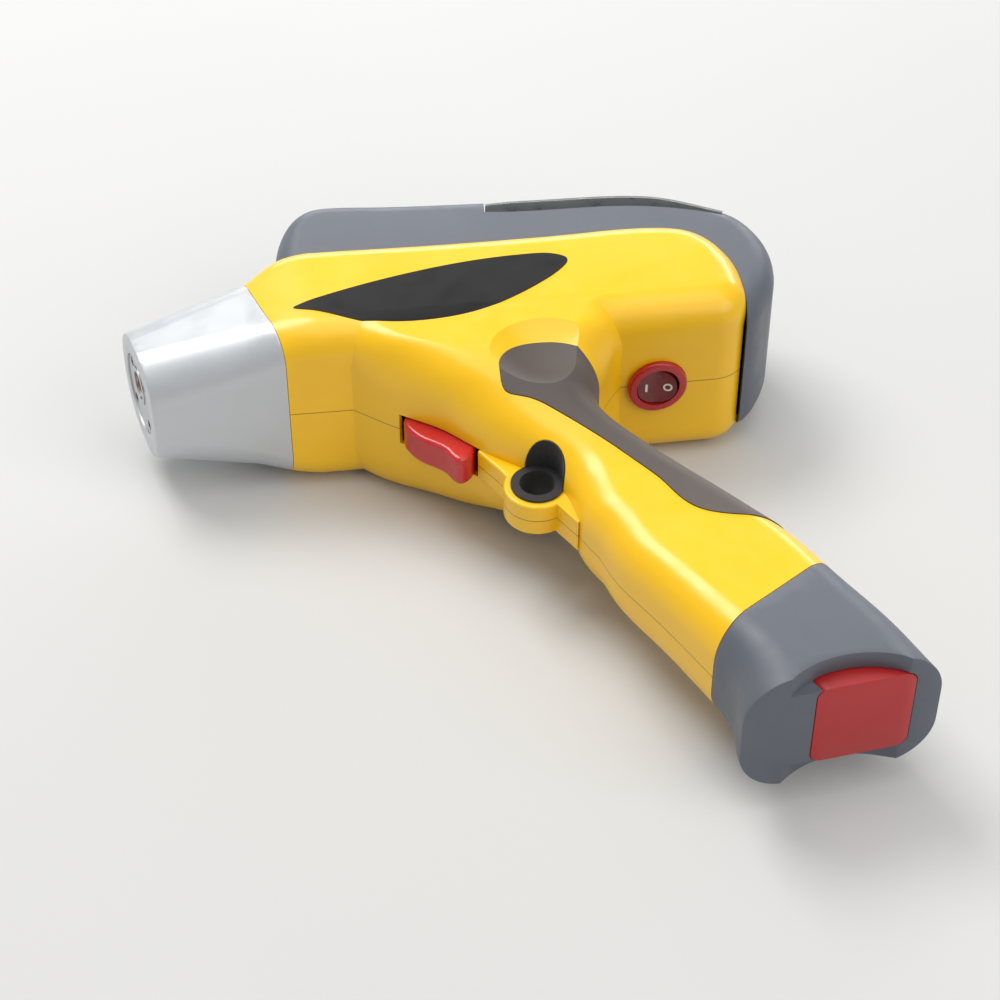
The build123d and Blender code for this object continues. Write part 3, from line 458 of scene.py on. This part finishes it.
def rounded(points, r, n=5):
    """Corners of a closed outline rounded with short quadratic arcs."""
    out = []
    k = len(points)
    for i in range(k):
        a, b, c = (Vector(points[i - 1]), Vector(points[i]), Vector(points[(i + 1) % k]))
        p, q = b + (a - b).normalized() * r, b + (c - b).normalized() * r
        for j in range(n + 1):
            t = j / n
            out.append((1 - t) ** 2 * p + 2 * t * (1 - t) * b + t * t * q)
    return [(v.x, v.y) for v in out]


def legend(name, outline, z_at, body, hole=None):
    """Low raised mark on a key's face, with a chamfered top edge."""
    bm = bmesh.new()

    def loop(pts, y, k=1.0):
        cx = sum(p[0] for p in pts) / len(pts)
        cz = sum(p[1] for p in pts) / len(pts)
        return [bm.verts.new(key_point(cx + (x - cx) * k, y, z_at + cz + (z - cz) * k)) for x, z in pts]

    def wall(a, b):
        n = len(a)
        for i in range(n):
            bm.faces.new((a[i], a[(i + 1) % n], b[(i + 1) % n], b[i]))

    rings = [loop(outline, 1.22), loop(outline, 1.36), loop(outline, 1.42, 0.90)]
    wall(rings[0], rings[1])
    wall(rings[1], rings[2])
    if hole is None:
        bm.faces.new(rings[2])
        bm.faces.new(list(reversed(rings[0])))
    else:
        inner = [loop(hole, 1.42, 1.10), loop(hole, 1.36), loop(hole, 1.22)]
        wall(rings[2], inner[0])
        wall(inner[0], inner[1])
        wall(inner[1], inner[2])
        wall(inner[2], rings[0])
    bmesh.ops.recalc_face_normals(bm, faces=bm.faces)
    me = bpy.data.meshes.new(name)
    bm.to_mesh(me)
    bm.free()
    me.materials.append(M["white"])
    o = bpy.data.objects.new(name, me)
    bpy.context.scene.collection.objects.link(o)
    mod = o.modifiers.new("smooth", "NODES")
    mod.node_group = SMOOTH
    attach(o, body)
    return o


arrow = [(-2.0, -1.5), (2.0, -1.5), (0.0, 1.9)]
legend("key_mark_left", rounded(arrow, 0.5), 15.0, "key_left")
legend("key_mark_right", rounded([(x, -z) for x, z in arrow], 0.5), -15.0, "key_right")
ring = [(math.cos(math.radians(a)), math.sin(math.radians(a))) for a in range(0, 360, 10)]
legend("key_mark_ok", [(2.1 * x, 2.1 * z) for x, z in ring], 0.0, "key_ok", [(1.4 * x, 1.4 * z) for x, z in ring])

# ---------------------------------------------------------------------------
# on and off marks, printed thick on the two slopes of the power rocker
# ---------------------------------------------------------------------------
ROCKER_C = (78.0, -6.6)
SLOPE = 1.3 / 7.4


def rocker_point(x, y, z):
    a, b = math.radians(-7.0), math.radians(4.0)
    y -= 2.2
    x1 = x * math.cos(a) - y * math.sin(a)
    y1 = x * math.sin(a) + y * math.cos(a) + 2.2
    return P(ROCKER_C[0] + x1 * math.cos(b) - y1 * math.sin(b), ROCKER_C[1] + x1 * math.sin(b) + y1 * math.cos(b), z)


def rocker_marks():
    bm = bmesh.new()

    def loop(pts, h, k=0.0):
        """Outline on the slope, h above it, drawn in by k towards the outline's own middle."""
        n = len(pts)
        out = []
        for i, (x, z) in enumerate(pts):
            a, b = pts[i - 1], pts[(i + 1) % n]
            t = Vector((b[0] - a[0], b[1] - a[1])).normalized()
            xx, zz = x - t.y * k, z + t.x * k
            out.append(bm.verts.new(rocker_point(xx, -0.2 - SLOPE * abs(xx) - h, zz)))
        return out

    def wall(a, b):
        n = len(a)
        for i in range(n):
            bm.faces.new((a[i], a[(i + 1) % n], b[(i + 1) % n], b[i]))

    bar = rounded([(-4.45, -1.75), (-3.55, -1.75), (-3.55, 1.75), (-4.45, 1.75)], 0.25)
    rings = [loop(bar, -0.25), loop(bar, 0.10), loop(bar, 0.15, 0.06)]
    wall(rings[0], rings[1])
    wall(rings[1], rings[2])
    bm.faces.new(rings[2])
    bm.faces.new(list(reversed(rings[0])))
    circle = [(math.cos(math.radians(a)), math.sin(math.radians(a))) for a in range(0, 360, 8)]
    big = [(4.0 + 1.75 * x, 1.75 * z) for x, z in circle]
    small = [(4.0 + 1.05 * x, 1.05 * z) for x, z in circle]
    rings = [loop(big, -0.25), loop(big, 0.10), loop(big, 0.15, 0.06), loop(small, 0.15, -0.06), loop(small, 0.10),
             loop(small, -0.25)]
    for i in range(6):
        wall(rings[i], rings[(i + 1) % 6])
    bmesh.ops.recalc_face_normals(bm, faces=bm.faces)
    me = bpy.data.meshes.new("rocker_print")
    bm.to_mesh(me)
    bm.free()
    me.materials.append(M["white"])
    o = bpy.data.objects.new("rocker_print", me)
    bpy.context.scene.collection.objects.link(o)
    mod = o.modifiers.new("smooth", "NODES")
    mod.node_group = SMOOTH
    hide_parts("rocker_marks")
    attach(o, "rocker")


rocker_marks()

# ---------------------------------------------------------------------------
# liner of the recess behind the strap eyelet: a thin black wall that follows
# the shell's cut edge, so the shell's cavity can't be seen and the recess is dark
# ---------------------------------------------------------------------------
EYE = (25.5, -63.0)


def liner(name, shell, side):
    me = nodes[shell].data
    tree = BVHTree.FromPolygons([v.co.copy() for v in me.vertices], [tuple(p.vertices) for p in me.polygons])
    columns = []
    for i in range(0, 181):
        a = math.radians(-110 + i * 220 / 180)
        c, s = math.cos(a), math.sin(a)
        hit = tree.ray_cast(P(EYE[0] + 9.80 * c, EYE[1] + 9.80 * s, side * 60), Vector((0, 0, -side)))[0]
        top = None
        if hit is not None:
            top = abs(hit.z * 1000 - OFF[2])
        columns.append((c, s, top))
    bm = bmesh.new()
    steps = 10
    previous = None
    for c, s, top in columns:
        if top is None or top < 9.0:
            previous = None
            continue
        rows = []
        for j in range(steps + 1):
            z = side * (7.6 + (top - 0.35 - 7.6) * j / steps)
            rows.append((bm.verts.new(P(EYE[0] + 9.62 * c, EYE[1] + 9.62 * s, z)),
                         bm.verts.new(P(EYE[0] + 9.15 * c, EYE[1] + 9.15 * s, z))))
        if previous is not None:
            for j in range(steps):
                for k in (0, 1):
                    bm.faces.new((previous[j][k], previous[j + 1][k], rows[j + 1][k], rows[j][k]))
            bm.faces.new((previous[0][0], previous[0][1], rows[0][1], rows[0][0]))
            bm.faces.new((previous[-1][0], previous[-1][1], rows[-1][1], rows[-1][0]))
        previous = rows
    bmesh.ops.holes_fill(bm, edges=bm.edges, sides=0)
    bmesh.ops.recalc_face_normals(bm, faces=bm.faces)
    mesh = bpy.data.meshes.new(name)
    bm.to_mesh(mesh)
    bm.free()
    mesh.materials.append(M["black_rubber"])
    o = bpy.data.objects.new(name, mesh)
    bpy.context.scene.collection.objects.link(o)
    mod = o.modifiers.new("smooth", "NODES")
    mod.node_group = SMOOTH
    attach(o, "root" if "root" in frame["bodies"] else "frame")
    return o


liner("eyelet_liner_left", "left_shell", 1)
liner("eyelet_liner_right", "right_shell", -1)

# ---------------------------------------------------------------------------
# stage
# ---------------------------------------------------------------------------
def floor_material():
    m, nt, b, co = shader("pale_floor")
    cloud = noise(nt, co, 1.2, 4.0, 0.5)
    base = ramp(nt, cloud, [(0.3, (0.60, 0.60, 0.595, 1)), (0.7, (0.64, 0.64, 0.635, 1))])
    nt.links.new(base, b.inputs["Base Color"])
    nt.links.new(spread(nt, cloud, 0.8, 0.9), b.inputs["Roughness"])
    b.inputs["Specular IOR Level"].default_value = 0.15
    return m


bm = bmesh.new()
bmesh.ops.create_grid(bm, x_segments=8, y_segments=8, size=6.0)
me = bpy.data.meshes.new("floor")
bm.to_mesh(me)
bm.free()
floor = bpy.data.objects.new("floor", me)
floor.location = (0, 0, -0.0004)
me.materials.append(floor_material())
bpy.context.scene.collection.objects.link(floor)


def area(name, loc, target, size, power, colour=(1, 1, 1)):
    d = bpy.data.lights.new(name, "AREA")
    d.shape = "RECTANGLE"
    d.size, d.size_y = size
    d.energy = power
    d.color = colour
    o = bpy.data.objects.new(name, d)
    o.location = loc
    o.rotation_euler = (Vector(target) - Vector(loc)).to_track_quat("-Z", "Y").to_euler()
    bpy.context.scene.collection.objects.link(o)
    return o


area("key_light", (-0.55, 0.75, 1.35), (0, 0, 0.03), (0.9, 0.7), 17.0, (1.0, 0.985, 0.96))
area("back_strip", (0.32, 1.25, 0.36), (0.03, 0.03, 0.06), (1.5, 0.12), 7.0, (1.0, 1.0, 1.0))
area("fill_light", (0.9, -0.9, 1.0), (0, 0, 0.03), (1.2, 1.0), 8.0, (1.0, 0.965, 0.91))
area("top_light", (0.1, -0.1, 1.7), (0, 0, 0), (1.4, 1.4), 9.0, (1.0, 1.0, 1.0))
world = bpy.data.worlds.new("studio")
world.use_nodes = True
world.node_tree.nodes["Background"].inputs["Color"].default_value = (0.86, 0.88, 0.90, 1)
world.node_tree.nodes["Background"].inputs["Strength"].default_value = 0.45
bpy.context.scene.world = world
